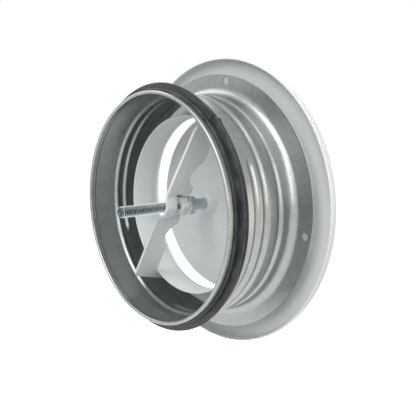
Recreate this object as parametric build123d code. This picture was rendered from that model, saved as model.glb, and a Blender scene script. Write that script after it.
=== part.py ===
"""Extract air valve for a 125 mm duct: mounting frame, valve body, disc on a screwed spindle.

Millimetres. The origin is the centre of the screw circle, on the face of the frame's flange that
lies against the wall. +Y runs along the duct, away from the room, and +Z is up.
"""
from build123d import *
from build123d.topology import SkipClean
from math import atan2, ceil, radians, sqrt, tan
import os

# Bends are drawn as short flats, which keeps the turned faces conical
FLAT_ANGLE = 30.0

# Mounting frame, rolled from galvanised sheet
FRAME_SHEET = 0.8
SPIGOT_RADIUS = 61.3
SPIGOT_LENGTH = 45.5
HEM_RISE = 0.6
HEM_THICKNESS = 1.9
HEM_LENGTH = 3.2
HEM_BEVEL = 0.5
FLARE_RADIUS = 4.6
FLANGE_WIDTH = 11.4
SCREW_EDGE_DISTANCE = 3.4
SCREW_HOLE_RADIUS = 2.1
SCREW_COUNT = 4
FIRST_SCREW_ANGLE = 9.0

# Grooves rolled into the spigot: a whole one beside the flare and two that run out at their ends
GROOVE_DEPTH = 1.1
GROOVE_WIDTH = 3.6
GROOVE_FLOOR_WIDTH = 1.2
WHOLE_GROOVE_Y = 10.0
INNER_GROOVE_Y = 20.0
OUTER_GROOVE_Y = 26.2
INNER_GROOVE_START = 251.0
OUTER_GROOVE_START = 66.0
GROOVE_SWEEP = 296.0

# Two-lip rubber gasket behind the hem
GASKET_BASE = 1.0
GASKET_WIDTH = 7.5
LIP_HEIGHT = 4.9
LIP_SETBACK = 2.8
LIP_THICKNESS = 0.8
REAR_LIP_HEIGHT = 3.3
REAR_LIP_SETBACK = 6.1
GASKET_JOINT_ANGLE = 43.0
GASKET_JOINT_GAP = 0.3
GASKET_JOINT_SLANT = 14.0

# Valve body, pressed from one steel blank and powder coated
BODY_SHEET = 1.0
COLLAR_RADIUS = 50.0
COLLAR_RIM_Y = 21.1
THROAT_ANGLE = 48.0
THROAT_Y = 4.8
THROAT_RADIUS = 12.0
CREST_RADIUS = 6.5
RING_RADIUS = 82.0
RING_FRONT_Y = -10.5
RING_FALL = 1.5
RIM_DEPTH = 7.2
RIM_CORNER_RADIUS = 3.0

# Disc with its boss
DISC_SHEET = 1.0
DISC_OVERHANG = 2.5
DISC_EDGE_Y = -6.2
DISC_LIP = 2.6
BOSS_RADIUS = 4.9
BOSS_FOOT_RADIUS = 7.0
BOSS_FOOT_Y = 1.6
BOSS_HEIGHT = 4.3

# Spindle, M6, with a riveted end in the boss
SPINDLE_RADIUS = 3.0
SPINDLE_LENGTH = 57.4
SPINDLE_CHAMFER = 0.8
NECK_RADIUS = 2.4
RIVET_RADIUS = 3.5
RIVET_HEIGHT = 1.4
RUNNING_GAP = 0.05

# Hexagon nuts
NUT_FLATS = 10.0
NUT_HEIGHT = 5.0
CAPTIVE_NUT_RISE = 0.3
LOCK_NUT_GAP = 0.3

# Bridge, a flat strip on edge across the collar
BRIDGE_SHEET = 1.5
BRIDGE_ANGLE = 57.0
BRIDGE_RISE = 15.5
BRIDGE_SHOULDER = 1.4
BRIDGE_SHOULDER_DROP = 0.5
BRIDGE_CORNER_RADIUS = 3.5
WING_SEAT = 1.0
WING_PLAY = 0.1
WING_GAP = 0.4
HUB_HALF_WIDTH = 12.5
HUB_DROP = 0.6
SCALLOP_STEP = 0.7
SCALLOP_WIDTH = 16.3
SCALLOP_DEPTH = 4.8
ARCH_SPLIT_RISE = 8.7
ARCH_SLIT = 0.5
REAR_ARCH_FOOT = 9.0
FRONT_ARCH_FOOT = 7.5
REAR_ARCH_CROWN_HALF = 4.2
FRONT_ARCH_CROWN_HALF = 2.4
ARCH_GAP = 0.2
ARCH_BEND_RADIUS = 1.6


def around(angle):
    """The turn about +Y that brings +X to an angle counted from the top towards -X."""
    return Rot(0, -(90.0 + angle), 0)


def bent_line(points, radii):
    """A line through the points, with flats that follow an arc at each inner one."""
    rounded = FilletPolyline(*points, radius=radii)
    corners = []
    for edge in rounded.edges():
        turn = (edge % 0).get_angle(edge % 1)
        flats = max(ceil(turn / FLAT_ANGLE), 1)
        corners += [edge @ (flat / flats) for flat in range(flats)]
    return Polyline(*corners, rounded @ 1)


def sheet_turning(middle, sheet):
    """A sheet of one thickness turned about the duct's axis, from its middle line."""
    return revolve(make_face(strip_outline(middle, sheet)), axis=Axis.Y)


def end_line(middle, position, sheet):
    """The short line across a strip at one end of its middle line."""
    across = (middle % position).rotate(Axis.Z, 90) * (sheet / 2)
    return Line(middle @ position + across, middle @ position - across)


def strip_outline(middle, sheet):
    """The closed outline of a strip that runs half a sheet either side of its middle line."""
    sides = [
        middle.offset_2d(sheet / 2, kind=Kind.INTERSECTION, side=side, closed=False)
        for side in (Side.LEFT, Side.RIGHT)
    ]
    ends = [end_line(middle, position, sheet) for position in (0, 1)]
    return Curve() + sides + ends


def groove_profile(margin):
    """Half of a groove's section beside its own centre line, or of a wider one that leaves a margin."""
    slope = atan2(GROOVE_DEPTH, (GROOVE_WIDTH - GROOVE_FLOOR_WIDTH) / 2)
    floor_half = GROOVE_FLOOR_WIDTH / 2 + margin * tan(slope / 2)
    floor_radius = SPIGOT_RADIUS - GROOVE_DEPTH - margin
    top_radius = SPIGOT_RADIUS + GROOVE_DEPTH
    top_half = floor_half + (top_radius - floor_radius) / tan(slope)
    return [(floor_radius, 0), (floor_radius, floor_half), (top_radius, top_half), (top_radius, 0)]


def groove_bar(margin, y, start, sweep):
    """The ring that a groove takes out, or its rib fills, with tapered ends unless it closes on itself."""
    half = make_face(Polyline(*groove_profile(margin), close=True))
    section = half + mirror(half, about=Plane.XZ)
    bar = revolve(section, axis=Axis.Y, revolution_arc=sweep)
    if sweep < 360.0:
        end = revolve(half, axis=Axis.X)
        bar += end
        bar += Rot(0, sweep, 0) * end
    return Pos(0, y, 0) * around(start + sweep) * bar


def parted(solid):
    """The same solid with its round faces parted along the level plane, so that none closes on itself."""
    upper, lower = split(solid, bisect_by=Plane.XY, keep=Keep.BOTH).solids()
    with SkipClean():
        return Part() + upper + lower


def mounting_frame():
    """Hemmed spigot, rolled grooves, flare and flange in one sheet."""
    middle_radius = SPIGOT_RADIUS - FRAME_SHEET / 2
    flange_radius = SPIGOT_RADIUS + FLANGE_WIDTH
    points = [
        (middle_radius, SPIGOT_LENGTH - HEM_THICKNESS / 2),
        (middle_radius, -FRAME_SHEET / 2),
        (flange_radius, -FRAME_SHEET / 2),
    ]
    frame = sheet_turning(bent_line(points, [FLARE_RADIUS + FRAME_SHEET / 2]), FRAME_SHEET)
    hem_radius = SPIGOT_RADIUS + HEM_RISE - HEM_THICKNESS / 2
    hem = Pos(hem_radius, SPIGOT_LENGTH - HEM_LENGTH / 2) * Rectangle(HEM_THICKNESS, HEM_LENGTH)
    hem = chamfer(hem.vertices().group_by(Axis.Y)[-1], HEM_BEVEL)
    frame += revolve(hem, axis=Axis.Y)
    grooves = [
        (WHOLE_GROOVE_Y, 0.0, 360.0),
        (INNER_GROOVE_Y, INNER_GROOVE_START, GROOVE_SWEEP),
        (OUTER_GROOVE_Y, OUTER_GROOVE_START, GROOVE_SWEEP),
    ]
    envelope = Rot(90, 0, 0) * Cylinder(middle_radius, 4 * SPIGOT_LENGTH)
    for y, start, sweep in grooves:
        frame += groove_bar(FRAME_SHEET, y, start, sweep) & envelope
    for y, start, sweep in grooves:
        frame -= groove_bar(0.0, y, start, sweep)
    drill = Rot(90, 0, 0) * Cylinder(SCREW_HOLE_RADIUS, 4 * FRAME_SHEET)
    drill = Pos(flange_radius - SCREW_EDGE_DISTANCE, 0, 0) * drill
    for index in range(SCREW_COUNT):
        frame -= around(FIRST_SCREW_ANGLE + index * 360.0 / SCREW_COUNT) * drill
    return parted(frame)


def gasket():
    """Rubber strip round the spigot, butted end to end, with a tall lip and a low one."""
    front_y = SPIGOT_LENGTH - HEM_LENGTH
    rear_y = front_y - GASKET_WIDTH
    base_radius = SPIGOT_RADIUS + GASKET_BASE
    lip_radius = SPIGOT_RADIUS + LIP_HEIGHT
    lip_y = front_y - LIP_SETBACK
    rear_lip_radius = SPIGOT_RADIUS + REAR_LIP_HEIGHT
    rear_lip_y = front_y - REAR_LIP_SETBACK
    section = Polyline(
        (SPIGOT_RADIUS, front_y),
        (base_radius, front_y),
        (lip_radius, lip_y),
        (lip_radius, lip_y - LIP_THICKNESS),
        (base_radius, rear_lip_y + 2 * LIP_THICKNESS),
        (rear_lip_radius, rear_lip_y),
        (rear_lip_radius, rear_lip_y - LIP_THICKNESS),
        (base_radius, rear_y),
        (SPIGOT_RADIUS, rear_y),
        close=True,
    )
    strip = revolve(make_face(section), axis=Axis.Y)
    knife = Rot(GASKET_JOINT_SLANT, 0, 0) * Box(4 * LIP_HEIGHT, SPIGOT_LENGTH, GASKET_JOINT_GAP)
    knife = Pos(lip_radius, (front_y + rear_y) / 2, 0) * knife
    return strip - around(GASKET_JOINT_ANGLE) * knife


def valve_body():
    """Collar, trumpet throat and front ring with its turned-back rim, pressed in one piece."""
    middle_radius = COLLAR_RADIUS - BODY_SHEET / 2
    front_y = RING_FRONT_Y + BODY_SHEET / 2
    crest_radius = middle_radius + (THROAT_Y - front_y) * tan(radians(THROAT_ANGLE))
    rim_radius = RING_RADIUS - BODY_SHEET / 2
    points = [
        (middle_radius, COLLAR_RIM_Y),
        (middle_radius, THROAT_Y),
        (crest_radius, front_y),
        (rim_radius, front_y + RING_FALL),
        (rim_radius, RING_FRONT_Y + RIM_DEPTH),
    ]
    middle = bent_line(points, [THROAT_RADIUS, CREST_RADIUS, RIM_CORNER_RADIUS])
    return sheet_turning(middle, BODY_SHEET)


def disc():
    """Shallow dish with a boss at its centre that takes the spindle's riveted end."""
    half = DISC_SHEET / 2
    edge_radius = COLLAR_RADIUS + DISC_OVERHANG - half
    boss_top_y = BOSS_FOOT_Y + BOSS_HEIGHT
    middle = Polyline(
        (0, boss_top_y - half),
        (BOSS_RADIUS, boss_top_y - half),
        (BOSS_FOOT_RADIUS, BOSS_FOOT_Y - half),
        (edge_radius, DISC_EDGE_Y - half),
        (edge_radius, DISC_EDGE_Y - half - DISC_LIP),
    )
    dish = sheet_turning(middle, DISC_SHEET)
    hole = Pos(0, boss_top_y, 0) * Rot(90, 0, 0) * Cylinder(NECK_RADIUS + RUNNING_GAP, 4 * DISC_SHEET)
    return dish - hole


def spindle():
    """Screwed rod with a necked and riveted end that holds the disc's boss."""
    boss_top_y = BOSS_FOOT_Y + BOSS_HEIGHT
    tip_y = boss_top_y + SPINDLE_LENGTH
    shoulder_y = boss_top_y + RUNNING_GAP
    rivet_y = boss_top_y - DISC_SHEET - RUNNING_GAP
    section = Polyline(
        (0, tip_y),
        (SPINDLE_RADIUS - SPINDLE_CHAMFER, tip_y),
        (SPINDLE_RADIUS, tip_y - SPINDLE_CHAMFER),
        (SPINDLE_RADIUS, shoulder_y),
        (NECK_RADIUS, shoulder_y),
        (NECK_RADIUS, rivet_y),
        (RIVET_RADIUS, rivet_y),
        (RIVET_RADIUS, rivet_y - RIVET_HEIGHT / 2),
        (RIVET_RADIUS - RIVET_HEIGHT / 2, rivet_y - RIVET_HEIGHT),
        (0, rivet_y - RIVET_HEIGHT),
        close=True,
    )
    return revolve(make_face(section), axis=Axis.Y)


def hexagon_nut():
    """Hexagon nut that stands on y = 0."""
    prism = extrude(Plane.XZ * RegularPolygon(NUT_FLATS / sqrt(3), 6), -NUT_HEIGHT)
    bore = Rot(90, 0, 0) * Cylinder(SPINDLE_RADIUS + RUNNING_GAP, 4 * NUT_HEIGHT)
    return prism - bore


def captive_nut():
    """Nut welded into the bridge, one flat against the rear arch."""
    seat_y = COLLAR_RIM_Y - HUB_DROP + CAPTIVE_NUT_RISE
    return Pos(0, seat_y, 0) * Rot(0, BRIDGE_ANGLE, 0) * hexagon_nut()


def lock_nut():
    """Loose nut that locks the spindle against the captive nut."""
    seat_y = COLLAR_RIM_Y - HUB_DROP + CAPTIVE_NUT_RISE - LOCK_NUT_GAP - NUT_HEIGHT
    return Pos(0, seat_y, 0) * Rot(0, BRIDGE_ANGLE, 0) * hexagon_nut()


def half_bridge_outline():
    """One half of the strip's outline, from its centre line to a wing."""
    inner_leg = COLLAR_RADIUS + WING_GAP
    tip_radius = SPIGOT_RADIUS - GROOVE_DEPTH - FRAME_SHEET - WING_PLAY
    tip_y = WHOLE_GROOVE_Y + WING_SEAT
    duct_edge_y = COLLAR_RIM_Y + BRIDGE_RISE
    shoulder_radius = COLLAR_RADIUS + BRIDGE_SHOULDER
    scallop_start = HUB_HALF_WIDTH + SCALLOP_STEP
    scallop_end = scallop_start + SCALLOP_WIDTH
    scallop = ThreePointArc(
        (scallop_end, COLLAR_RIM_Y),
        (scallop_start + SCALLOP_WIDTH / 2, COLLAR_RIM_Y + SCALLOP_DEPTH),
        (scallop_start, COLLAR_RIM_Y),
    )
    wing = Polyline(
        (0, duct_edge_y),
        (shoulder_radius, duct_edge_y - BRIDGE_SHOULDER_DROP),
        (tip_radius, tip_y),
        (inner_leg, tip_y),
        (inner_leg, COLLAR_RIM_Y),
        (scallop_end, COLLAR_RIM_Y),
    )
    hub = Polyline(
        (scallop_start, COLLAR_RIM_Y),
        (HUB_HALF_WIDTH, COLLAR_RIM_Y - HUB_DROP),
        (0, COLLAR_RIM_Y - HUB_DROP),
        (0, duct_edge_y),
    )
    half = make_face(Curve() + [wing, scallop, hub])
    shoulder = half.vertices().sort_by_distance((shoulder_radius, duct_edge_y, 0))[0]
    return fillet(shoulder, BRIDGE_CORNER_RADIUS)


def arch(crown, crown_half, foot, low_y, high_y):
    """A band of the strip bent out of its plane, up to a flat crown on one side."""
    points = [
        (-HUB_HALF_WIDTH, 0),
        (-foot, 0),
        (-crown_half, crown),
        (crown_half, crown),
        (foot, 0),
        (HUB_HALF_WIDTH, 0),
    ]
    middle = FilletPolyline(*points, radius=[ARCH_BEND_RADIUS] * 4)
    section = Pos(0, low_y, 0) * Rot(90, 0, 0) * make_face(strip_outline(middle, BRIDGE_SHEET))
    return extrude(section, high_y - low_y, dir=(0, 1, 0))


def bridge():
    """Strip on edge across the collar's rim, lanced at its middle so that the spindle threads it."""
    half = half_bridge_outline()
    outline = half + mirror(half, about=Plane.YZ)
    plate = extrude(outline, BRIDGE_SHEET / 2, both=True)
    hub_y = COLLAR_RIM_Y - HUB_DROP
    duct_edge_y = COLLAR_RIM_Y + BRIDGE_RISE
    window = Box(2 * HUB_HALF_WIDTH - BRIDGE_SHEET, 4 * duct_edge_y, 2 * BRIDGE_SHEET)
    plate -= window
    front_crown = SPINDLE_RADIUS + ARCH_GAP + BRIDGE_SHEET / 2
    rear_crown = NUT_FLATS / 2 + BRIDGE_SHEET / 2
    split_y = COLLAR_RIM_Y + ARCH_SPLIT_RISE
    plate += arch(rear_crown, REAR_ARCH_CROWN_HALF, REAR_ARCH_FOOT, hub_y, split_y - ARCH_SLIT / 2)
    plate += arch(
        -front_crown, FRONT_ARCH_CROWN_HALF, FRONT_ARCH_FOOT, split_y + ARCH_SLIT / 2, duct_edge_y
    )
    return Rot(0, BRIDGE_ANGLE, 0) * plate


def main():
    """Writes one STEP file for each piece."""
    os.makedirs("parts", exist_ok=True)
    pieces = {
        "mounting_frame": mounting_frame(),
        "gasket": gasket(),
        "valve_body": valve_body(),
        "bridge": bridge(),
        "captive_nut": captive_nut(),
        "lock_nut": lock_nut(),
        "spindle": spindle(),
        "disc": disc(),
    }
    for name, piece in pieces.items():
        export_step(piece, f"parts/{name}.step")


if __name__ == "__main__":
    main()
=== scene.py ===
"""Extract air valve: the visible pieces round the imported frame, their finishes, light and camera.

Lengths of the pieces are millimetres and become metres through MM. Patterns and bumps of the finishes and
places in the studio are in metres. The origin is the centre of the screw circle on the flange's wall face,
+Y runs into the duct and +Z is up.
"""
import logging
import math
from dataclasses import dataclass
from enum import Enum
from typing import Callable, Sequence

import bmesh
import bpy
from mathutils import Matrix, Vector


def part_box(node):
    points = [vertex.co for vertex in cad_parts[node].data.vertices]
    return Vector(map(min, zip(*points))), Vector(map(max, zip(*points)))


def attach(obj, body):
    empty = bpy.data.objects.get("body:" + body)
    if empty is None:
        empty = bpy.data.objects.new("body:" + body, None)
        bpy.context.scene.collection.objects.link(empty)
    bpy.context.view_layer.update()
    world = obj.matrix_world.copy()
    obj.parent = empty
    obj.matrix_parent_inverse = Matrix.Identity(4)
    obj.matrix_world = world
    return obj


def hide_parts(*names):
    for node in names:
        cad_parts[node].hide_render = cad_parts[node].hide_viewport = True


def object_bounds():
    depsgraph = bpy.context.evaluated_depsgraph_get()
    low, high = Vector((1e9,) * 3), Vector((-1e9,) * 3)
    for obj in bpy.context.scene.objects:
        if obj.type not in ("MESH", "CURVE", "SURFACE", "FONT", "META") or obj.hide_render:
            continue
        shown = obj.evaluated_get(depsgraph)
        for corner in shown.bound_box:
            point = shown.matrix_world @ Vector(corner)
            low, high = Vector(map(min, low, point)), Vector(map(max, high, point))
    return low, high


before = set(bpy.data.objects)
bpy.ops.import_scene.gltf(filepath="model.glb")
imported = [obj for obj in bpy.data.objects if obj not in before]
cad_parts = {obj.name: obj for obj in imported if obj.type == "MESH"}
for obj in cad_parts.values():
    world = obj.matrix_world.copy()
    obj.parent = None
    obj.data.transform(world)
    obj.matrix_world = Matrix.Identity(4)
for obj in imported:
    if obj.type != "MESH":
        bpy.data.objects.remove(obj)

MM = 0.001
AROUND = 240
NO_LENGTH = 1e-9
SHARPEST_MITRE = 0.2
DUCT_AXIS = {"axis": (0, 1, 0), "cent": (0, 0, 0)}
CAD_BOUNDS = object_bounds()
LOG = logging.getLogger("air_valve")

Point = tuple[float, float]
Pair = tuple[float, float]
Colour = tuple[float, float, float, float]
Mesh = bmesh.types.BMesh
Node = bpy.types.Node
Socket = bpy.types.NodeSocket


def extent(node: str) -> tuple[Vector, Vector]:
    """Lowest and highest corner of a CAD node in millimetres."""
    low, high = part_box(node)
    return Vector(low) / MM, Vector(high) / MM


# Sections of turned pieces


def rounded(corners: Sequence[Point], radii: Sequence[float], steps: int = 8) -> list[Point]:
    """Draws a line through corners, with an arc at each inner one.

    Args:
        corners: Points of the line.
        radii: One radius for each inner corner.
        steps: Straight runs in each arc.

    Returns:
        The points of the line.
    """
    line = [Vector(corners[0])]
    for before, corner, after, radius in zip(corners, corners[1:], corners[2:], radii):
        here = Vector(corner)
        back = (Vector(before) - here).normalized()
        ahead = (Vector(after) - here).normalized()
        half_angle = back.angle(ahead) / 2
        centre = here + (back + ahead).normalized() * radius / math.sin(half_angle)
        start = here + back * radius / math.tan(half_angle) - centre
        end = here + ahead * radius / math.tan(half_angle) - centre
        for step in range(steps + 1):
            line.append(centre + start.slerp(end, step / steps) * radius)
    line.append(Vector(corners[-1]))
    return [tuple(point) for point in line]


def divided(line: Sequence[Point], longest: float) -> list[Point]:
    """Adds points to a line so that no run is longer than a limit.

    Args:
        line: Points of the line.
        longest: Longest run.

    Returns:
        The points with the added ones.
    """
    result = []
    for start, end in zip(line, line[1:]):
        runs = max(math.ceil(math.dist(start, end) / longest), 1)
        result += [tuple(Vector(start).lerp(Vector(end), run / runs)) for run in range(runs)]
    return result + [tuple(line[-1])]


def thickened(line: Sequence[Point], sheet: float) -> list[Point]:
    """Gives a line the thickness of a sheet, half on each side.

    Args:
        line: Middle line of the sheet.
        sheet: Thickness.

    Returns:
        The closed outline.
    """
    left, right = [], []
    for index, point in enumerate(line):
        before = Vector(line[max(index - 1, 0)])
        after = Vector(line[min(index + 1, len(line) - 1)])
        here = Vector(point)
        runs = [run.normalized() for run in (here - before, after - here) if run.length > NO_LENGTH]
        along = sum(runs, Vector((0.0, 0.0))).normalized()
        reach = sheet / 2 / max(along.dot(runs[0]), SHARPEST_MITRE)
        across = Vector((-along.y, along.x)) * reach
        left.append(tuple(here + across))
        right.append(tuple(here - across))
    return left + right[::-1]


def drawn(mesh: Mesh, line: Sequence[Point], closed: bool = True) -> list:
    """Draws a line into a mesh, ready to spin about the duct's axis.

    Args:
        mesh: The mesh.
        line: Radius and place along the duct of each point, in millimetres.
        closed: Whether the last point joins the first.

    Returns:
        The new vertices and edges.
    """
    verts = [mesh.verts.new((radius * MM, y * MM, 0.0)) for radius, y in line]
    ends = verts[1:] + verts[:1] if closed else verts[1:]
    edges = [mesh.edges.new(pair) for pair in zip(verts, ends)]
    return verts + edges


def spun(outline: Sequence[Point], around: int = AROUND) -> Mesh:
    """Turns a closed outline a full turn about the duct's axis.

    Args:
        outline: Radius and place along the duct of each point, in millimetres.
        around: Steps of the turn.

    Returns:
        The mesh, in metres.
    """
    mesh = bmesh.new()
    bmesh.ops.spin(
        mesh, geom=drawn(mesh, outline), angle=math.tau, steps=around, use_merge=True, **DUCT_AXIS,
    )
    bmesh.ops.remove_doubles(mesh, verts=mesh.verts, dist=0.002 * MM)
    bmesh.ops.recalc_face_normals(mesh, faces=mesh.faces)
    return mesh


def bearing(vert: bmesh.types.BMVert) -> float:
    """Angle of a vertex round the duct, in degrees from the top towards -X."""
    return math.degrees(math.atan2(-vert.co.x, vert.co.z)) % 360.0


def smooth_step(value: float) -> float:
    """Eases a share from 0 to 1, held to that range."""
    share = min(max(value, 0.0), 1.0)
    return share * share * (3 - 2 * share)


# Shader wiring


class Wiring:
    """Adds nodes to a tree and joins them."""

    def __init__(self, tree: bpy.types.NodeTree) -> None:
        """Keeps the tree that the nodes go into."""
        self.tree = tree

    def add(self, kind: str, inputs: dict | None = None, **settings: object) -> Node:
        """Adds a node.

        Args:
            kind: Blender's name of the node type.
            inputs: Values or sockets for its inputs, by name or index.
            **settings: Properties of the node.

        Returns:
            The node.
        """
        node = self.tree.nodes.new(kind)
        for name, value in settings.items():
            setattr(node, name, value)
        for key, value in (inputs or {}).items():
            self.feed(node.inputs[key], value)
        return node

    def feed(self, socket: Socket, value: object) -> None:
        """Joins an output to a socket, or sets the socket's own value.

        Args:
            socket: The input to feed.
            value: An output, or a plain value.
        """
        if isinstance(value, Socket):
            self.tree.links.new(value, socket)
        else:
            socket.default_value = value

    def math(self, operation: str, *values: object, clamp: bool = False) -> Socket:
        """Adds a Math node and gives its output."""
        inputs = dict(enumerate(values))
        return self.add("ShaderNodeMath", inputs, operation=operation, use_clamp=clamp).outputs[0]

    def weighted(self, *terms: tuple[Socket, float]) -> Socket:
        """Adds values up, each with its own weight.

        Args:
            *terms: Each value with its weight.

        Returns:
            The sum.
        """
        products = [self.math("MULTIPLY", value, weight) for value, weight in terms]
        total = products[0]
        for product in products[1:]:
            total = self.math("ADD", total, product)
        return total

    def blend(self, factor: object, low: object, high: object) -> Socket:
        """Mixes two colours.

        Args:
            factor: Share of the second colour.
            low: The first colour.
            high: The second colour.

        Returns:
            The mixed colour.
        """
        node = self.add("ShaderNodeMix", data_type="RGBA")
        for socket, value in zip((node.inputs[0], node.inputs[6], node.inputs[7]), (factor, low, high)):
            self.feed(socket, value)
        return node.outputs[2]

    def span(self, value: object, low: float, high: float, start: float = 0.0, end: float = 1.0) -> Socket:
        """Maps a value from start and end to low and high, held to these."""
        inputs = {0: value, 1: start, 2: end, 3: low, 4: high}
        return self.add("ShaderNodeMapRange", inputs).outputs[0]

    def noise(self, vector: object, scale: object, detail: float) -> Socket:
        """Adds a noise texture and gives its value."""
        inputs = {"Vector": vector, "Scale": scale, "Detail": detail}
        return self.add("ShaderNodeTexNoise", inputs).outputs[0]


class Effect(Enum):
    """Node groups that more than one finish uses."""

    STREAKS = "streaks"
    MOTTLE = "mottle"


class Effects:
    """Builds each shared node group once."""

    built: dict[Effect, bpy.types.NodeTree] = {}

    @classmethod
    def group(cls, effect: Effect) -> bpy.types.NodeTree:
        """Gives an effect's group, made at its first use.

        Args:
            effect: The effect.

        Returns:
            Its node group.
        """
        if effect not in cls.built:
            makers = {Effect.STREAKS: cls.streaks, Effect.MOTTLE: cls.mottle}
            cls.built[effect] = makers[effect]()
        return cls.built[effect]

    @staticmethod
    def empty(effect: Effect, *numbers: str) -> tuple[Wiring, Node, Node]:
        """Starts a group with a Vector input, named numbers and one Value output.

        Args:
            effect: The effect that the group makes.
            *numbers: Names of the numbers.

        Returns:
            The wiring, the group's input node and its output node.
        """
        tree = bpy.data.node_groups.new(effect.value, "ShaderNodeTree")
        tree.interface.new_socket("Vector", in_out="INPUT", socket_type="NodeSocketVector")
        for name in numbers:
            tree.interface.new_socket(name, in_out="INPUT", socket_type="NodeSocketFloat")
        tree.interface.new_socket("Value", in_out="OUTPUT", socket_type="NodeSocketFloat")
        wiring = Wiring(tree)
        return wiring, wiring.add("NodeGroupInput"), wiring.add("NodeGroupOutput")

    @classmethod
    def streaks(cls) -> bpy.types.NodeTree:
        """Lines left by rolling or drawing, long one way and fine the other.

        Around is how many fit in a turn, and Along and Outward how many in a metre along the duct and away
        from its axis.

        Returns:
            The node group.
        """
        wiring, given, out = cls.empty(Effect.STREAKS, "Around", "Along", "Outward")
        x, y, z = wiring.add("ShaderNodeSeparateXYZ", {0: given.outputs["Vector"]}).outputs
        squares = wiring.math("ADD", wiring.math("MULTIPLY", x, x), wiring.math("MULTIPLY", z, z))
        radius = wiring.math("SQRT", wiring.math("MAXIMUM", squares, 1e-8))
        around = given.outputs["Around"]
        sides = [wiring.math("MULTIPLY", wiring.math("DIVIDE", side, radius), around) for side in (x, z)]
        lengthways = wiring.math("MULTIPLY", y, given.outputs["Along"])
        outwards = wiring.math("MULTIPLY", radius, given.outputs["Outward"])
        depth = wiring.math("ADD", lengthways, outwards)
        place = wiring.add("ShaderNodeCombineXYZ", {0: sides[0], 1: sides[1], 2: depth}).outputs[0]
        wiring.feed(out.inputs["Value"], wiring.noise(place, scale=1.0, detail=4.0))
        return wiring.tree

    @classmethod
    def mottle(cls) -> bpy.types.NodeTree:
        """Soft blotches, Size to the metre.

        Returns:
            The node group.
        """
        wiring, given, out = cls.empty(Effect.MOTTLE, "Size", "Contrast")
        noise = wiring.noise(given.outputs["Vector"], scale=given.outputs["Size"], detail=4.0)
        spread = wiring.math("MULTIPLY", wiring.math("SUBTRACT", noise, 0.5), given.outputs["Contrast"])
        wiring.feed(out.inputs["Value"], wiring.math("ADD", spread, 0.5, clamp=True))
        return wiring.tree


class Coat:
    """A material under construction, with its shader and the piece's own coordinates."""

    def __init__(self, name: str, **constants: object) -> None:
        """Starts a material.

        Args:
            name: Name of the material.
            **constants: Values for the shader's own sockets, with _ for a space.
        """
        self.material = bpy.data.materials.new(name)
        self.material.use_nodes = True
        self.wiring = Wiring(self.material.node_tree)
        self.shader = self.material.node_tree.nodes["Principled BSDF"]
        self.place = self.wiring.add("ShaderNodeTexCoord").outputs["Object"]
        self.set(**constants)

    def effect(self, effect: Effect, **numbers: float) -> Socket:
        """Places a shared group with its own numbers.

        Args:
            effect: The effect.
            **numbers: A value for each of the group's numbers.

        Returns:
            The group's Value.
        """
        inputs = {"Vector": self.place, **numbers}
        node = self.wiring.add("ShaderNodeGroup", node_tree=Effects.group(effect))
        for name, value in inputs.items():
            self.wiring.feed(node.inputs[name], value)
        return node.outputs["Value"]

    def bump(self, height: object, distance: float, strength: float, onto: object = None) -> Socket:
        """Adds a bump.

        Args:
            height: Height of the pattern, from 0 to 1.
            distance: Height in metres that 1 stands for.
            strength: Share of the bump that shows.
            onto: Normal that it adds to, if any.

        Returns:
            The normal.
        """
        inputs = {"Height": height, "Distance": distance, "Strength": strength}
        if onto is not None:
            inputs["Normal"] = onto
        return self.wiring.add("ShaderNodeBump", inputs).outputs[0]

    def set(self, **sockets: object) -> None:
        """Feeds the shader's sockets, with _ for a space in a name."""
        for key, value in sockets.items():
            self.wiring.feed(self.shader.inputs[key.replace("_", " ")], value)


# Finishes


@dataclass(frozen=True)
class Galvanised:
    """Hot-dip galvanised sheet: fine zinc flowers, rolling lines and radial draw marks.

    Attributes:
        name: Name of the material.
        pale: Palest colour of the zinc.
        dark: Darkest colour of the zinc.
        flower_size: Flowers to the metre.
        flange_y: Place along the duct up to which the draw marks are at their full height.
        spigot_y: Place from which only a share of it is left.
        marks_left: That share.
    """

    name: str = "galvanised_sheet"
    pale: Colour = (0.445, 0.465, 0.46, 1.0)
    dark: Colour = (0.19, 0.205, 0.205, 1.0)
    flower_size: float = 420.0
    flange_y: float = 0.5
    spigot_y: float = 4.0
    marks_left: float = 0.2

    def build(self) -> bpy.types.Material:
        """Builds the material.

        Returns:
            The material.
        """
        coat = Coat(self.name, Metallic=1.0)
        wiring = coat.wiring
        cells = wiring.add("ShaderNodeTexVoronoi", {"Vector": coat.place, "Scale": self.flower_size})
        grain = wiring.add("ShaderNodeSeparateColor", {0: cells.outputs["Color"]}).outputs[0]
        blotch = coat.effect(Effect.MOTTLE, Size=22.0, Contrast=1.4)
        fine = coat.effect(Effect.MOTTLE, Size=1300.0, Contrast=1.8)
        rolled = coat.effect(Effect.STREAKS, Around=2.0, Along=1500.0, Outward=40.0)
        marks = coat.effect(Effect.STREAKS, Around=90.0, Along=12.0, Outward=20.0)
        tone = wiring.weighted((grain, 0.15), (blotch, 0.3), (marks, 0.25), (fine, 0.3))
        lines = wiring.span(rolled, -0.04, 0.05, start=0.3, end=0.7)
        rough = wiring.math("ADD", wiring.span(grain, 0.3, 0.34), lines)
        y = wiring.add("ShaderNodeSeparateXYZ", {0: coat.place}).outputs[1]
        faded = wiring.span(y, 1.0, self.marks_left, start=self.flange_y * MM, end=self.spigot_y * MM)
        normal = coat.bump(rolled, distance=0.00001, strength=0.3)
        raised = wiring.math("MULTIPLY", marks, faded)
        normal = coat.bump(raised, distance=0.00006, strength=0.4, onto=normal)
        normal = coat.bump(fine, distance=0.00001, strength=0.3, onto=normal)
        coat.set(Base_Color=wiring.blend(tone, self.dark, self.pale), Roughness=rough, Normal=normal)
        return coat.material


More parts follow.
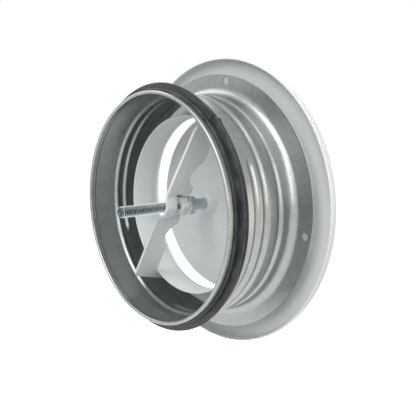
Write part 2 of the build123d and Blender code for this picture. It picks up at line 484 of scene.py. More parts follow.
@dataclass(frozen=True)
class ZincPlate:
    """Bright zinc plating of the rod and the loose nut, slightly blue, with painted shade darkening the
    thread's roots and the tip's end face.

    Attributes:
        name: Name of the material.
        pale: Colour of the bright places.
        dark: Colour of the dull places.
        root: Colour of the painted shade in the thread's roots and on the tip's end face.
        root_shade_full_radius: Radius inside which the painted shade is whole.
        root_shade_end_radius: Radius from which none of it is left.
    """

    name: str = "zinc_plating"
    pale: Colour = (0.62, 0.70, 0.72, 1.0)
    dark: Colour = (0.36, 0.42, 0.44, 1.0)
    # Painted shade for the thread's roots and the tip's end face.
    root: Colour = (0.07, 0.09, 0.10, 1.0)
    root_shade_full_radius: float = 2.35
    root_shade_end_radius: float = 2.95

    def build(self) -> bpy.types.Material:
        """Builds the material.

        Returns:
            The material.
        """
        coat = Coat(self.name, Metallic=1.0)
        wiring = coat.wiring
        blotch = coat.effect(Effect.MOTTLE, Size=420.0, Contrast=0.7)
        turned = coat.effect(Effect.STREAKS, Around=1.5, Along=5200.0, Outward=2600.0)
        lines = wiring.span(turned, -0.04, 0.05, start=0.3, end=0.7)
        across = {0: coat.place, 1: (1.0, 0.0, 1.0)}
        flat = wiring.add("ShaderNodeVectorMath", across, operation="MULTIPLY").outputs[0]
        radius = wiring.add("ShaderNodeVectorMath", {0: flat}, operation="LENGTH").outputs["Value"]
        # Painted shade: the colour darkens towards the rod's axis, so the thread's roots and the tip's end
        # face are dark.
        depth = wiring.span(radius, 0.0, 1.0, start=self.root_shade_full_radius * MM, end=self.root_shade_end_radius * MM)
        plating = wiring.blend(blotch, self.dark, self.pale)
        coat.set(
            Base_Color=wiring.blend(depth, self.root, plating),
            Roughness=wiring.math("ADD", wiring.span(blotch, 0.18, 0.28), lines),
            Normal=coat.bump(turned, distance=0.00002, strength=0.3),
        )
        return coat.material


@dataclass(frozen=True)
class PowderCoat:
    """White powder coating, with the ripple of the cured coat.

    Attributes:
        name: Name of the material.
        white: Colour of the clean coat.
        shade: Colour of its greyer blotches.
        roughness: Roughness that the speckle varies.
        ripple: Share of the ripple that shows.
        ripple_size: Ripples to the metre.
        speckle_size: Speckles to the metre.
    """

    name: str = "white_powder_coat"
    white: Colour = (0.83, 0.86, 0.86, 1.0)
    shade: Colour = (0.75, 0.78, 0.78, 1.0)
    roughness: float = 0.36
    ripple: float = 0.9
    ripple_size: float = 900.0
    speckle_size: float = 2600.0

    def build(self) -> bpy.types.Material:
        """Builds the material.

        Returns:
            The material.
        """
        coat = Coat(self.name, Specular_IOR_Level=0.4)
        wiring = coat.wiring
        blotch = coat.effect(Effect.MOTTLE, Size=45.0, Contrast=1.3)
        waves = wiring.noise(coat.place, scale=self.ripple_size, detail=2.0)
        peel = wiring.span(waves, 0.0, 1.0, start=0.25, end=0.75)
        speckle = wiring.noise(coat.place, scale=self.speckle_size, detail=2.0)
        varied = wiring.span(speckle, -0.05, 0.07, start=0.35, end=0.65)
        coat.set(
            Base_Color=wiring.blend(blotch, self.shade, self.white),
            Roughness=wiring.math("ADD", varied, self.roughness),
            Normal=coat.bump(peel, distance=0.0001, strength=self.ripple),
        )
        return coat.material


@dataclass(frozen=True)
class Rubber:
    """Extruded black rubber with handling dust along its length.

    Attributes:
        name: Name of the material.
        black: Colour of the clean rubber.
        dusty: Colour of the dust.
    """

    name: str = "gasket_rubber"
    black: Colour = (0.010, 0.012, 0.013, 1.0)
    dusty: Colour = (0.105, 0.118, 0.126, 1.0)

    def build(self) -> bpy.types.Material:
        """Builds the material.

        Returns:
            The material.
        """
        coat = Coat(self.name, Specular_IOR_Level=0.45)
        wiring = coat.wiring
        lines = coat.effect(Effect.STREAKS, Around=7.0, Along=1600.0, Outward=1300.0)
        blotch = coat.effect(Effect.MOTTLE, Size=150.0, Contrast=2.2)
        dust = wiring.math("MULTIPLY", wiring.span(lines, 0.0, 1.0, start=0.35, end=0.75), blotch)
        coat.set(
            Base_Color=wiring.blend(dust, self.black, self.dusty),
            Roughness=wiring.math("ADD", wiring.span(dust, 0.42, 0.62), wiring.span(blotch, -0.03, 0.05)),
            Normal=coat.bump(lines, distance=0.00005, strength=0.5),
        )
        return coat.material


class Finish(Enum):
    """Finishes of the pieces, with the record's slot that each belongs to."""

    GALVANISED = "galvanised_steel"
    ZINC = "zinc_plated_steel"
    WHITE = "white_powder_coat"
    RUBBER = "gasket_rubber"


class Paintshop:
    """Makes each finish once and puts it on pieces."""

    makers: dict[Finish, Callable[[], bpy.types.Material]] = {
        Finish.GALVANISED: Galvanised().build,
        Finish.ZINC: ZincPlate().build,
        Finish.WHITE: PowderCoat().build,
        Finish.RUBBER: Rubber().build,
    }
    made: dict[Finish, bpy.types.Material] = {}

    @classmethod
    def material(cls, finish: Finish) -> bpy.types.Material:
        """Gives a finish's material, made at its first use.

        Args:
            finish: The finish.

        Returns:
            Its material.
        """
        if finish not in cls.made:
            cls.made[finish] = cls.makers[finish]()
        return cls.made[finish]

    @classmethod
    def piece(
        cls, name: str, mesh: Mesh, finish: Finish, body: str, node: str | None = None, sharp: float = 40.0,
    ) -> None:
        """Makes a finished piece of the object.

        Args:
            name: Name of the piece.
            mesh: Its shape, freed afterwards.
            finish: Its finish.
            body: CAD body that it moves with.
            node: CAD node that it stands for, if any.
            sharp: Angle in degrees from which an edge stays sharp.
        """
        data = bpy.data.meshes.new(name)
        for face in mesh.faces:
            face.smooth = True
        mesh.to_mesh(data)
        mesh.free()
        data.set_sharp_from_angle(angle=math.radians(sharp))
        data.materials.append(cls.material(finish))
        piece = bpy.data.objects.new(name, data)
        bpy.context.scene.collection.objects.link(piece)
        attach(piece, body)
        if node:
            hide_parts(node)
        LOG.info("%s: %d faces, rides on %s", name, len(data.polygons), body)


# Shaping


class Cut(Enum):
    """What a cutting shape does to a mesh."""

    TAKE_AWAY = "DIFFERENCE"
    KEEP_INSIDE = "INTERSECT"


def machined(mesh: Mesh, cutters: Sequence[Mesh], cut: Cut) -> Mesh:
    """Cuts a mesh with other shapes.

    Args:
        mesh: The mesh to cut, freed afterwards.
        cutters: The cutting shapes, freed afterwards.
        cut: What each of them does.

    Returns:
        The cut mesh.
    """
    objects = []
    for part in (mesh, *cutters):
        data = bpy.data.meshes.new("blank")
        part.to_mesh(data)
        part.free()
        blank = bpy.data.objects.new("blank", data)
        bpy.context.scene.collection.objects.link(blank)
        objects.append(blank)
    target = objects[0]
    for cutter in objects[1:]:
        step = target.modifiers.new("cut", "BOOLEAN")
        step.object = cutter
        step.operation = cut.value
        step.solver = "EXACT"
    bpy.context.view_layer.update()
    result = bmesh.new()
    evaluated = target.evaluated_get(bpy.context.evaluated_depsgraph_get())
    result.from_mesh(evaluated.to_mesh())
    evaluated.to_mesh_clear()
    for blank in objects:
        data = blank.data
        bpy.data.objects.remove(blank)
        bpy.data.meshes.remove(data)
    return result


def merged_copy(node: str) -> Mesh:
    """Copies a CAD node's mesh, with its triangles joined into whole faces.

    Args:
        node: Name of the node.

    Returns:
        The mesh.
    """
    mesh = bmesh.new()
    mesh.from_mesh(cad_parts[node].data)
    bmesh.ops.remove_doubles(mesh, verts=mesh.verts, dist=0.001 * MM)
    bmesh.ops.dissolve_limit(
        mesh, angle_limit=math.radians(0.5), verts=mesh.verts, edges=mesh.edges,
        use_dissolve_boundaries=False,
    )
    return mesh


def eased(mesh: Mesh, width: float, sharp: float = 30.0, segments: int = 3) -> Mesh:
    """Rounds the sharp edges of a mesh.

    Args:
        mesh: The mesh.
        width: Width of the round in millimetres.
        sharp: Angle in degrees from which an edge is rounded.
        segments: Steps of the round.

    Returns:
        The same mesh.
    """
    edges = [edge for edge in mesh.edges if edge.calc_face_angle(0.0) > math.radians(sharp)]
    bmesh.ops.bevel(
        mesh, geom=edges, offset=width * MM, offset_type="OFFSET", affect="EDGES",
        segments=segments, profile=0.5, material=-1, clamp_overlap=True,
    )
    return mesh


# Sub-assemblies


@dataclass
class Groove:
    """One groove rolled into the spigot.

    Attributes:
        y: Place along the duct.
        start: Angle at which it begins, from the top towards -X.
        sweep: Angle that it covers, 360 where it closes on itself.
    """

    y: float
    start: float = 0.0
    sweep: float = 360.0

    def share(self, y: float, angle: float, half_width: float, run_out: float) -> float:
        """Share of the full depth at a place on the spigot.

        Args:
            y: Place along the duct.
            angle: Place round the duct in degrees.
            half_width: Half the groove's width.
            run_out: Degrees over which an end fades.

        Returns:
            The share, from 0 to 1.
        """
        offset = abs(y - self.y) / half_width
        if offset >= 1.0:
            return 0.0
        depth = math.cos(offset * math.pi / 2) ** 2
        if self.sweep >= 360.0:
            return depth
        inside = (angle - self.start) % 360.0
        if inside > self.sweep + (360.0 - self.sweep) / 2:
            inside -= 360.0
        room = min(inside, self.sweep - inside) / run_out + 1.0
        return depth * smooth_step(room)


@dataclass
class MountingFrame:
    """Hemmed spigot with its grooves, flare and screw flange."""

    sheet: float = 0.8
    spigot_radius: float = 61.3
    spigot_margin: float = 0.2
    hem_rise: float = 0.6
    hem_thickness: float = 1.9
    hem_length: float = 3.2
    hem_fullness: float = 0.98
    hem_foot_rounds: Pair = (0.15, 0.1)
    hem_step: float = 0.6
    hem_step_rounds: Pair = (1.0, 0.4)
    flare_radius: float = 4.6
    groove_depth: float = 1.1
    groove_half_width: float = 2.4
    groove_run_out: float = 3.0
    screw_edge_distance: float = 3.4
    screw_radius: float = 2.1
    screw_count: int = 4
    first_screw: float = 9.0
    drill_length: float = 4.8
    drill_sides: int = 40
    longest_run: float = 0.6
    grooves: tuple[Groove, ...] = (Groove(10.0), Groove(20.0, 251.0, 296.0), Groove(26.2, 66.0, 296.0))

    def outline(self) -> list[Point]:
        """Draws the sheet's section, with the hem rolled over its end.

        Returns:
            The closed outline.
        """
        low, high = extent("mounting_frame")
        flange_radius, end_y = high.x, high.y
        outer, inner = self.spigot_radius, self.spigot_radius - self.sheet
        hem_outer = outer + self.hem_rise
        hem_inner = hem_outer - self.hem_thickness
        hem_foot = end_y - self.hem_length
        crown = hem_outer - self.hem_thickness / 2
        roll = self.hem_thickness / 2 * self.hem_fullness
        bend = self.flare_radius
        skin_out = rounded(
            [(crown, end_y), (hem_outer, end_y), (hem_outer, hem_foot), (outer, hem_foot), (outer, 0.0),
             (flange_radius, 0.0)],
            [roll, *self.hem_foot_rounds, bend],
        )
        skin_in = rounded(
            [(flange_radius, low.y), (inner, low.y), (inner, hem_foot - self.hem_step),
             (hem_inner, hem_foot), (hem_inner, end_y), (crown, end_y)],
            [bend + self.sheet, *self.hem_step_rounds, roll],
        )
        return divided(skin_out + skin_in[:-1], self.longest_run)

    def build(self) -> None:
        """Builds the frame, with its grooves pressed in and its screw holes drilled."""
        mesh = spun(self.outline())
        reach = self.spigot_radius + self.spigot_margin
        for vert in mesh.verts:
            y = vert.co.y / MM
            radius = math.hypot(vert.co.x, vert.co.z)
            if radius > reach * MM:
                continue
            angle = bearing(vert)
            share = max(g.share(y, angle, self.groove_half_width, self.groove_run_out) for g in self.grooves)
            scale = 1.0 - share * self.groove_depth * MM / radius
            vert.co.x *= scale
            vert.co.z *= scale
        mesh = machined(mesh, [self.drill(index) for index in range(self.screw_count)], Cut.TAKE_AWAY)
        Paintshop.piece("frame_sheet", mesh, Finish.GALVANISED, "frame", "mounting_frame")

    def drill(self, index: int) -> Mesh:
        """Shapes what one screw hole takes away.

        Args:
            index: Number of the hole, from 0.

        Returns:
            The shape.
        """
        _, high = extent("mounting_frame")
        angle = math.radians(self.first_screw + index * 360.0 / self.screw_count)
        circle = high.x - self.screw_edge_distance
        radius = self.screw_radius * MM
        mesh = bmesh.new()
        bmesh.ops.create_cone(
            mesh, cap_ends=True, segments=self.drill_sides, radius1=radius, radius2=radius,
            depth=self.drill_length * MM,
        )
        bmesh.ops.rotate(mesh, verts=mesh.verts, matrix=Matrix.Rotation(math.pi / 2, 3, "X"))
        place = Vector((-math.sin(angle), 0.0, math.cos(angle))) * circle * MM
        bmesh.ops.translate(mesh, verts=mesh.verts, vec=place)
        return mesh


@dataclass
class Gasket:
    """Two-lip rubber strip behind the hem, butted end to end.

    Attributes:
        base: Thickness of the strip between its lips.
        spigot_radius: Radius that it lies on.
        lip: Thickness of a lip at its edge.
        lip_setback: Place of the tall lip behind the strip's front.
        lip_root: Height above the base at which the tall lip's back turns into its root.
        lip_taper: Depth of its back there, as a share of the lip's thickness.
        valley: Where the base shows between bead and tall lip, ahead of the lip.
        bead_rise: Height of the front bead above the base.
        bead_width: Width of the front bead.
        rear_lip_rise: Height of the low lip above the spigot.
        rear_lip_setback: Place of the low lip behind the strip's front.
        rounds: Radii of the section's corners, from the bead round to the foot.
        arc_steps: Straight runs in each of them.
        longest_run: Longest run of the section.
        joint_angle: Place of the joint, in degrees from the top towards -X.
        joint_gap: Gap between the two ends.
        joint_slant: Slant of the cut in degrees.
        kink: How far one end rises and the other sinks.
        kink_spread: How far the kink reaches round the strip, in square degrees.
        kink_height: Height above the spigot at which the kink is whole.
    """

    base: float = 1.0
    spigot_radius: float = 61.3
    lip: float = 0.8
    lip_setback: float = 2.8
    lip_root: float = 0.9
    lip_taper: float = 0.9
    valley: Pair = (0.9, 0.4)
    bead_rise: float = 0.7
    bead_width: float = 1.1
    rear_lip_rise: float = 3.3
    rear_lip_setback: float = 6.1
    rounds: tuple[float, ...] = (0.4, 0.4, 0.15, 0.15, 0.3, 0.3, 0.6, 0.4, 0.3, 0.3, 0.2)
    arc_steps: int = 4
    longest_run: float = 0.8
    joint_angle: float = 43.0
    joint_gap: float = 0.45
    joint_slant: float = 14.0
    kink: float = 0.8
    kink_spread: float = 6.0
    kink_height: float = 4.0

    def outline(self) -> list[Point]:
        """Draws the strip's section.

        Returns:
            The closed outline.
        """
        low, high = extent("gasket")
        foot = self.spigot_radius
        base = foot + self.base
        front, rear = high.y, low.y
        lip_y = front - self.lip_setback
        rear_y = front - self.rear_lip_setback
        rear_lip = foot + self.rear_lip_rise
        bead = base + self.bead_rise
        corners = [
            (foot, front), (bead, front), (bead, front - self.bead_width),
            (base, lip_y + self.valley[0]), (base, lip_y + self.valley[1]),
            (high.x, lip_y), (high.x, lip_y - self.lip),
            (base + self.lip_root, lip_y - self.lip * self.lip_taper), (base, rear_y + 2 * self.lip),
            (rear_lip, rear_y), (rear_lip, rear_y - self.lip), (base, rear), (foot, rear),
        ]
        return divided(rounded(corners, self.rounds, self.arc_steps), self.longest_run)

    def build(self) -> None:
        """Builds the strip with its joint."""
        low, high = extent("gasket")
        middle = (low.y + high.y) / 2
        gap = self.joint_gap / high.x
        mesh = bmesh.new()
        outline = drawn(mesh, self.outline())
        bmesh.ops.spin(mesh, geom=outline, angle=math.tau - gap, steps=AROUND, **DUCT_AXIS)
        bmesh.ops.holes_fill(mesh, edges=[edge for edge in mesh.edges if edge.is_boundary], sides=0)
        bmesh.ops.recalc_face_normals(mesh, faces=mesh.faces)
        slant = math.tan(math.radians(self.joint_slant))
        for vert in mesh.verts:
            radius = math.hypot(vert.co.x, vert.co.z)
            turn = math.degrees((vert.co.y / MM - middle) * slant / (radius / MM))
            near = math.degrees(math.atan2(vert.co.z, vert.co.x))
            curl = math.copysign(math.exp(-near * near / self.kink_spread), near)
            height = (radius / MM - self.spigot_radius) / self.kink_height
            lift = self.kink * MM * curl * smooth_step(height)
            vert.co = Matrix.Rotation(math.radians(turn), 3, "Y") @ vert.co
            vert.co.x *= 1 + lift / radius
            vert.co.z *= 1 + lift / radius
        turn = Matrix.Rotation(-math.radians(90.0 + self.joint_angle), 3, "Y")
        bmesh.ops.rotate(mesh, verts=mesh.verts, matrix=turn)
        Paintshop.piece("gasket_strip", mesh, Finish.RUBBER, "frame", "gasket")


@dataclass
class ValveBody:
    """Collar, trumpet throat and front ring with its turned-back rim."""

    sheet: float = 1.0
    collar_radius: float = 50.0
    throat_angle: float = 48.0
    throat_y: float = 4.8
    throat_radius: float = 12.0
    root_shade_end_radius: float = 6.5
    ring_front: float = -10.5
    ring_fall: float = 1.5
    rim_depth: float = 7.2
    rim_corner: float = 3.0
    arc_steps: int = 14
    edge_round: float = 0.3
    edge_angle: float = 60.0

    def build(self) -> None:
        """Builds the pressed body."""
        _, high = extent("valve_body")
        half = self.sheet / 2
        middle = self.collar_radius - half
        front = self.ring_front + half
        rim = high.x - half
        crest = middle + (self.throat_y - front) * math.tan(math.radians(self.throat_angle))
        corners = [
            (middle, high.y), (middle, self.throat_y), (crest, front), (rim, front + self.ring_fall),
            (rim, self.ring_front + self.rim_depth),
        ]
        line = rounded(corners, [self.throat_radius, self.root_shade_end_radius, self.rim_corner], self.arc_steps)
        mesh = eased(spun(thickened(line, self.sheet)), self.edge_round, self.edge_angle)
        Paintshop.piece("body_pressing", mesh, Finish.WHITE, "valve", "valve_body")


@dataclass
class Disc:
    """Shallow dish with a lip and a boss for the spindle."""

    sheet: float = 1.0
    edge_y: float = -6.2
    lip_corner: float = 1.6
    boss_radius: float = 4.9
    foot_radius: float = 7.0
    foot_y: float = 1.6
    boss_rounds: Pair = (1.0, 1.5)
    hole_radius: float = 2.45

    def build(self) -> None:
        """Builds the dish."""
        low, high = extent("disc")
        half = self.sheet / 2
        edge = high.x - half
        corners = [
            (self.hole_radius, high.y - half), (self.boss_radius, high.y - half),
            (self.foot_radius, self.foot_y - half), (edge, self.edge_y - half), (edge, low.y),
        ]
        line = rounded(corners, [*self.boss_rounds, self.lip_corner])
        mesh = spun(thickened(line, self.sheet))
        Paintshop.piece("disc_pressing", mesh, Finish.WHITE, "disc", "disc")


@dataclass
class Nut:
    """Hexagon nut with the corners turned off both its faces.

    Attributes:
        name: Name of the piece.
        node: CAD node that it stands for.
        finish: Its finish.
        body: CAD body that it moves with.
        face_radius: Radius of the round face that turning leaves.
        corner_radius: Radius at which the turned cone ends.
        fall: Height of that cone.
        edge_round: Width of the round on its edges.
        edge_angle: Angle in degrees from which an edge is rounded.
        edge_steps: Steps of the round.
        around: Steps of the turned cone.
        sharp: Angle in degrees from which an edge stays sharp.
    """

    name: str
    node: str
    finish: Finish
    body: str
    face_radius: float = 4.75
    corner_radius: float = 5.9
    fall: float = 0.66
    edge_round: float = 0.15
    edge_angle: float = 50.0
    edge_steps: int = 2
    around: int = 96
    sharp: float = 25.0

    def build(self) -> None:
        """Builds the nut."""
        low, high = extent(self.node)
        turned = [
            (0.0, low.y), (self.face_radius, low.y), (self.corner_radius, low.y + self.fall),
            (self.corner_radius, high.y - self.fall), (self.face_radius, high.y), (0.0, high.y),
        ]
        mesh = machined(merged_copy(self.node), [spun(turned, self.around)], Cut.KEEP_INSIDE)
        mesh = eased(mesh, self.edge_round, self.edge_angle, self.edge_steps)
        Paintshop.piece(self.name, mesh, self.finish, self.body, self.node, self.sharp)


@dataclass
class Bridge:
    """Lanced strip across the collar, with its welded nut.

    Attributes:
        edge_round: Width of the round on the strip's edges.
        sharp: Angle in degrees from which an edge of the strip stays sharp.
        angle: Turn of the strip about the duct's axis, in degrees.
        bead_radius: Radius of a weld bead before it is drawn out.
        bead_shape: How far a bead is drawn out each way.
        bead_rounds: Steps round a bead and from end to end of it.
        bead_places: Where the beads sit by the nut's corners: along the strip, out from it and along
            the duct.
    """

    edge_round: float = 0.3
    sharp: float = 50.0
    angle: float = 57.0
    bead_radius: float = 0.8
    bead_shape: tuple[float, float, float] = (1.3, 1.6, 0.8)
    bead_rounds: tuple[int, int] = (20, 12)
    bead_places: tuple[tuple[float, float, float], ...] = (
        (-3.4, 5.0, 21.6), (3.4, 5.0, 22.2), (3.9, 4.8, 24.6),
    )

    def build(self) -> None:
        """Builds the strip, the captive nut and its welds."""
        strip = eased(merged_copy("bridge"), self.edge_round)
        Paintshop.piece("bridge_strip", strip, Finish.WHITE, "valve", "bridge", self.sharp)
        Nut("captive_nut_coated", "captive_nut", Finish.WHITE, "valve").build()
        self.welds()

    def welds(self) -> None:
        """Builds the weld beads between the nut and the rear arch."""
        mesh = bmesh.new()
        radius = self.bead_radius * MM
        around, lengthways = self.bead_rounds
        for along, out, y in self.bead_places:
            bead = bmesh.ops.create_uvsphere(mesh, u_segments=around, v_segments=lengthways, radius=radius)
            bmesh.ops.scale(mesh, verts=bead["verts"], vec=self.bead_shape)
            bmesh.ops.translate(mesh, verts=bead["verts"], vec=(along * MM, y * MM, out * MM))
        turn = Matrix.Rotation(math.radians(self.angle), 3, "Y")
        bmesh.ops.rotate(mesh, verts=mesh.verts, matrix=turn)
        Paintshop.piece("nut_welds", mesh, Finish.WHITE, "valve")


@dataclass
class Spindle:
    """Threaded rod with its chamfered tip, and the loose nut that locks it.

    Attributes:
        radius: Radius of the thread's crest.
        pitch: Rise of the thread in a turn.
        thread_depth: Depth of the thread.
        root_flat: Share of the pitch that the root is flat for, on each side.
        crest_flat: Share of the pitch that half the crest is flat for.
        thread_start: Place along the duct where the thread begins.
        steps: Steps in a turn of the thread.
        chamfer: Chamfer of the tip.
        dimple_shares: Radius of the dimple's rim as a share of the tip's, and of its floor as a share
            of the rim's.
        dimple_depth: Depth of the dimple.
        neck_radius: Radius of the neck in the disc's boss.
        shoulder_gap: Gap between the rod's shoulder and the boss.
        rivet_radius: Radius of the riveted head.
        rivet_face_radius: Radius of its flat face.
        rivet_height: Height of the head.
        rivet_fall: Height of its bevelled edge.
        shank_rounds: Radii of the shank's corners, from the thread down to the head's face.
        shank_arc_steps: Straight runs in each of them.
        shank_around: Steps round the shank.
        thread_sharp: Angle in degrees from which an edge of the thread stays sharp.
        shank_sharp: The same for the shank.
    """

    radius: float = 3.0
    pitch: float = 1.0
    thread_depth: float = 0.55
    root_flat: float = 0.12
    crest_flat: float = 0.06
    thread_start: float = 14.0
    steps: int = 36
    chamfer: float = 0.8
    dimple_shares: Pair = (0.75, 0.5)
    dimple_depth: float = 1.0
    neck_radius: float = 2.4
    shoulder_gap: float = 0.05
    rivet_radius: float = 3.5
    rivet_face_radius: float = 2.6
    rivet_height: float = 1.45
    rivet_fall: float = 0.7
    shank_rounds: tuple[float, ...] = (0.2, 0.2, 0.1, 0.1, 0.15, 0.3, 0.5)
    shank_arc_steps: int = 4
    shank_around: int = 64
    thread_sharp: float = 30.0
    shank_sharp: float = 35.0

    def build(self) -> None:
        """Builds the rod and the lock nut."""
        self.thread()
        self.shank()
        Nut("lock_nut_plated", "lock_nut", Finish.ZINC, "lock_nut").build()

    def thread(self) -> None:
        """Builds the threaded length, from below the lock nut to the tip."""
        _, high = extent("spindle")
        tip = high.y
        mesh = self.screw(math.ceil((tip - self.thread_start) / self.pitch) + 1)
        for height, side in ((tip, 1.0), (self.thread_start + self.pitch, -1.0)):
            geometry = mesh.verts[:] + mesh.edges[:] + mesh.faces[:]
            bmesh.ops.bisect_plane(
                mesh, geom=geometry, plane_co=(0, height * MM, 0), plane_no=(0, side, 0), clear_outer=True,
            )
        for vert in mesh.verts:
            limit = (self.radius - self.chamfer) * MM + (tip * MM - vert.co.y)
            radius = math.hypot(vert.co.x, vert.co.z)
            if radius > limit:
                vert.co.x *= limit / radius
                vert.co.z *= limit / radius
        rims = [edge for edge in mesh.edges if edge.is_boundary]
        ends = bmesh.ops.holes_fill(mesh, edges=rims, sides=0)["faces"]
        end = max(ends, key=lambda face: face.calc_center_median().y)
        for share, depth in zip(self.dimple_shares, (0.0, self.dimple_depth)):
            end = bmesh.ops.extrude_discrete_faces(mesh, faces=[end])["faces"][0]
            for vert in end.verts:
                vert.co = (vert.co.x * share, vert.co.y - depth * MM, vert.co.z * share)
        bmesh.ops.recalc_face_normals(mesh, faces=mesh.faces)
        Paintshop.piece("spindle_thread", mesh, Finish.ZINC, "spindle", None, self.thread_sharp)

    def screw(self, turns: int) -> Mesh:
        """Winds the thread's skin, open at both its ends.

        Args:
            turns: Number of turns.

        Returns:
            The skin.
        """
        root = self.radius - self.thread_depth
        profile = [
            (root, 0.0), (root, self.root_flat), (self.radius, 0.5 - self.crest_flat),
            (self.radius, 0.5 + self.crest_flat), (root, 1.0 - self.root_flat), (root, 1.0),
        ]
        line = [(radius, self.thread_start + share * self.pitch) for radius, share in profile]
        mesh = bmesh.new()
        bmesh.ops.spin(
            mesh, geom=drawn(mesh, line, closed=False), angle=math.tau, steps=self.steps,
            dvec=(0, self.pitch * MM / self.steps, 0), **DUCT_AXIS,
        )
        turn = mesh.verts[:] + mesh.edges[:] + mesh.faces[:]
        for index in range(1, turns):
            copy = bmesh.ops.duplicate(mesh, geom=turn)["geom"]
            raised = [part for part in copy if isinstance(part, bmesh.types.BMVert)]
            bmesh.ops.translate(mesh, verts=raised, vec=(0, index * self.pitch * MM, 0))
        bmesh.ops.remove_doubles(mesh, verts=mesh.verts, dist=0.01 * MM)
        return mesh

    def shank(self) -> None:
        """Builds the plain end of the rod, with its neck and riveted head in the boss."""
        low, _ = extent("spindle")
        _, boss = extent("disc")
        top = self.thread_start + 2 * self.pitch
        shoulder = boss.y + self.shoulder_gap
        rivet = low.y + self.rivet_height
        outline = rounded(
            [(0.0, top), (self.radius, top), (self.radius, shoulder), (self.neck_radius, shoulder),
             (self.neck_radius, rivet), (self.rivet_radius, rivet),
             (self.rivet_radius, low.y + self.rivet_fall), (self.rivet_face_radius, low.y), (0.0, low.y)],
            self.shank_rounds, self.shank_arc_steps,
        )
        mesh = spun(outline, self.shank_around)
        Paintshop.piece("spindle_shank", mesh, Finish.ZINC, "spindle", "spindle", self.shank_sharp)


# Studio


@dataclass(frozen=True)
class Softbox:
    """One soft lamp, aimed at the object.

    Attributes:
        name: Name of the lamp.
        azimuth: Side that it shines from, in degrees as direction counts them.
        elevation: Height that it shines from, in degrees.
        distance: Distance in metres.
        side: Side of its square in metres.
        power: Power in watts.
        tint: Colour of its light.
    """

    name: str
    azimuth: float
    elevation: float
    distance: float
    side: float
    power: float
    tint: tuple[float, float, float] = (1.0, 1.0, 1.0)


@dataclass(frozen=True)
class Overcast:
    """The even light of the whole studio, from one side and above.

    Attributes:
        name: Name of the lamp.
        azimuth: Side that it shines from, in degrees.
        elevation: Height that it shines from, in degrees.
        spread: Width of its disc in degrees.
        strength: Strength in watts to the square metre.
    """

    name: str = "even_light"
    azimuth: float = 203.0
    elevation: float = 42.0
    spread: float = 50.0
    strength: float = 0.5


def direction(azimuth: float, elevation: float) -> Vector:
    """Unit vector from the object towards an azimuth and an elevation."""
    a, e = math.radians(azimuth), math.radians(elevation)
    return Vector((math.sin(a) * math.cos(e), -math.cos(a) * math.cos(e), math.sin(e)))


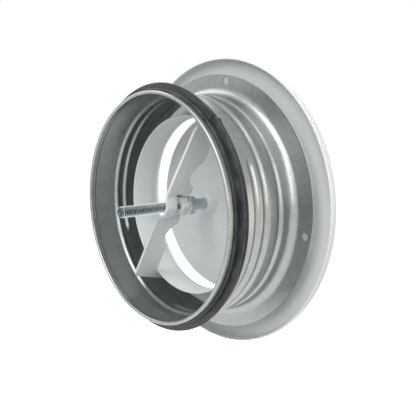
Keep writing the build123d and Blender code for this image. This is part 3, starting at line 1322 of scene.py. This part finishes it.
@dataclass
class Studio:
    """Floor, backdrop colour, lamps and camera.

    Attributes:
        image_side: Side of the picture in pixels.
        focal_pixels: Focal length in pixels.
        sensor: Width of the camera's sensor in millimetres.
        azimuth: Side that the camera stands on, in degrees as direction counts them.
        elevation: Height that it stands at, in degrees.
        hem_in_view: Centre of the hem's face as the camera sees it, in millimetres: right, down and away.
        floor_depth: Depth of the floor below the object in metres.
        floor_half_side: Half the floor's side in metres.
        floor_glow: Strength of the floor's own white.
        floor_pale: Palest colour of the floor.
        floor_dark: Darkest colour of the floor.
        ambient: Strength of the world's light on the object.
        lamps: The soft lamps.
        overcast: The even light.
    """

    image_side: int = 416
    focal_pixels: float = 554.9
    sensor: float = 36.0
    azimuth: float = 228.29
    elevation: float = 8.04
    hem_in_view: tuple[float, float, float] = (-31.69, 0.75, 294.23)
    floor_depth: float = 0.30
    floor_half_side: float = 6.0
    floor_glow: float = 0.9
    floor_pale: Colour = (0.72, 0.72, 0.72, 1.0)
    floor_dark: Colour = (0.68, 0.68, 0.68, 1.0)
    ambient: float = 0.28
    lamps: tuple[Softbox, ...] = (
        Softbox("key_softbox", 196.0, 26.0, 1.0, 0.6, 1.5),
        Softbox("top_softbox", 208.0, 56.0, 1.0, 0.8, 4.5),
        Softbox("near_softbox", 244.0, 20.0, 0.4, 0.25, 0.4),
        Softbox("flare_softbox", 104.0, 40.0, 1.0, 0.7, 3.0),
        Softbox("front_softbox", 40.0, 25.0, 1.2, 0.8, 5.0),
        Softbox("warm_softbox", 314.0, -2.0, 0.9, 0.5, 0.9, (1.0, 0.84, 0.68)),
    )
    overcast: Overcast = Overcast()

    def build(self) -> None:
        """Sets the whole studio up."""
        bpy.context.scene.view_settings.view_transform = "Standard"
        self.world()
        self.floor()
        for box in self.lamps:
            self.softbox(box)
        self.even_light()
        self.camera()

    def world(self) -> None:
        """White for the camera, in reflections and through openings, and a plain dim light on the object."""
        world = bpy.data.worlds.new("studio")
        world.use_nodes = True
        bpy.context.scene.world = world
        wiring = Wiring(world.node_tree)
        background = world.node_tree.nodes["Background"]
        background.inputs["Color"].default_value = (1.0, 1.0, 1.0, 1.0)
        wiring.feed(background.inputs["Strength"], wiring.math("MAXIMUM", self.seen(wiring), self.ambient))

    @staticmethod
    def seen(wiring: Wiring) -> Socket:
        """Tells the rays that see the backdrop from those that only light the object.

        Args:
            wiring: The tree that asks.

        Returns:
            1 for the camera's rays, mirrored rays and rays that pass through, and 0 for all others.
        """
        path = wiring.add("ShaderNodeLightPath").outputs
        seen = wiring.math("MAXIMUM", path["Is Camera Ray"], path["Is Transmission Ray"])
        return wiring.math("MAXIMUM", seen, path["Is Glossy Ray"])

    def floor(self) -> None:
        """Lays the plain pale floor below the held object, near white where no shadow falls."""
        mesh = bmesh.new()
        bmesh.ops.create_grid(mesh, x_segments=1, y_segments=1, size=self.floor_half_side)
        depth = CAD_BOUNDS[0][2] - self.floor_depth
        bmesh.ops.translate(mesh, verts=mesh.verts, vec=(0.0, 0.0, depth))
        data = bpy.data.meshes.new("floor")
        mesh.to_mesh(data)
        mesh.free()
        floor = bpy.data.objects.new("floor", data)
        bpy.context.scene.collection.objects.link(floor)
        coat = Coat("floor_paint", Roughness=1.0, Specular_IOR_Level=0.0)
        wiring = coat.wiring
        speck = coat.effect(Effect.MOTTLE, Size=2.0, Contrast=0.05)
        coat.set(
            Base_Color=wiring.blend(speck, self.floor_dark, self.floor_pale),
            Emission_Color=(1.0, 1.0, 1.0, 1.0),
            Emission_Strength=wiring.math("MULTIPLY", self.seen(wiring), self.floor_glow),
        )
        data.materials.append(coat.material)

    @staticmethod
    def hang(light: bpy.types.Light, azimuth: float, elevation: float, distance: float = 1.0) -> None:
        """Hangs a lamp so that it shines at the object.

        Args:
            light: The lamp's light.
            azimuth: Side that it shines from, in degrees.
            elevation: Height that it shines from, in degrees.
            distance: Distance in metres, which the even light doesn't depend on.
        """
        lamp = bpy.data.objects.new(light.name, light)
        towards = direction(azimuth, elevation)
        lamp.location = towards * distance
        lamp.rotation_euler = towards.to_track_quat("Z", "Y").to_euler()
        bpy.context.scene.collection.objects.link(lamp)

    def softbox(self, box: Softbox) -> None:
        """Hangs one soft lamp.

        Args:
            box: The lamp.
        """
        light = bpy.data.lights.new(box.name, "AREA")
        light.energy = box.power
        light.size = box.side
        light.color = box.tint
        self.hang(light, box.azimuth, box.elevation, box.distance)

    def even_light(self) -> None:
        """Lights the floor and the object from far away, with soft shadows."""
        light = bpy.data.lights.new(self.overcast.name, "SUN")
        light.energy = self.overcast.strength
        light.angle = math.radians(self.overcast.spread)
        self.hang(light, self.overcast.azimuth, self.overcast.elevation)

    def camera(self) -> None:
        """Places the camera so that the hem's centre falls where the photograph has it."""
        data = bpy.data.cameras.new("camera")
        data.sensor_width = self.sensor
        data.lens = self.sensor * self.focal_pixels / self.image_side
        camera = bpy.data.objects.new("camera", data)
        back = direction(self.azimuth, self.elevation)
        right = Vector((math.cos(math.radians(self.azimuth)), math.sin(math.radians(self.azimuth)), 0.0))
        up = back.cross(right)
        _, high = extent("mounting_frame")
        hem = Vector((0.0, high.y, 0.0))
        x, y, z = self.hem_in_view
        camera.location = (hem - right * x + up * y + back * z) * MM
        camera.rotation_euler = back.to_track_quat("Z", "Y").to_euler()
        bpy.context.scene.collection.objects.link(camera)
        bpy.context.scene.camera = camera


def main() -> None:
    """Builds every sub-assembly and the studio."""
    logging.basicConfig(level=logging.INFO, format="%(name)s: %(message)s")
    for assembly in (MountingFrame(), Gasket(), ValveBody(), Disc(), Bridge(), Spindle(), Studio()):
        assembly.build()


if __name__ == "__main__":
    main()
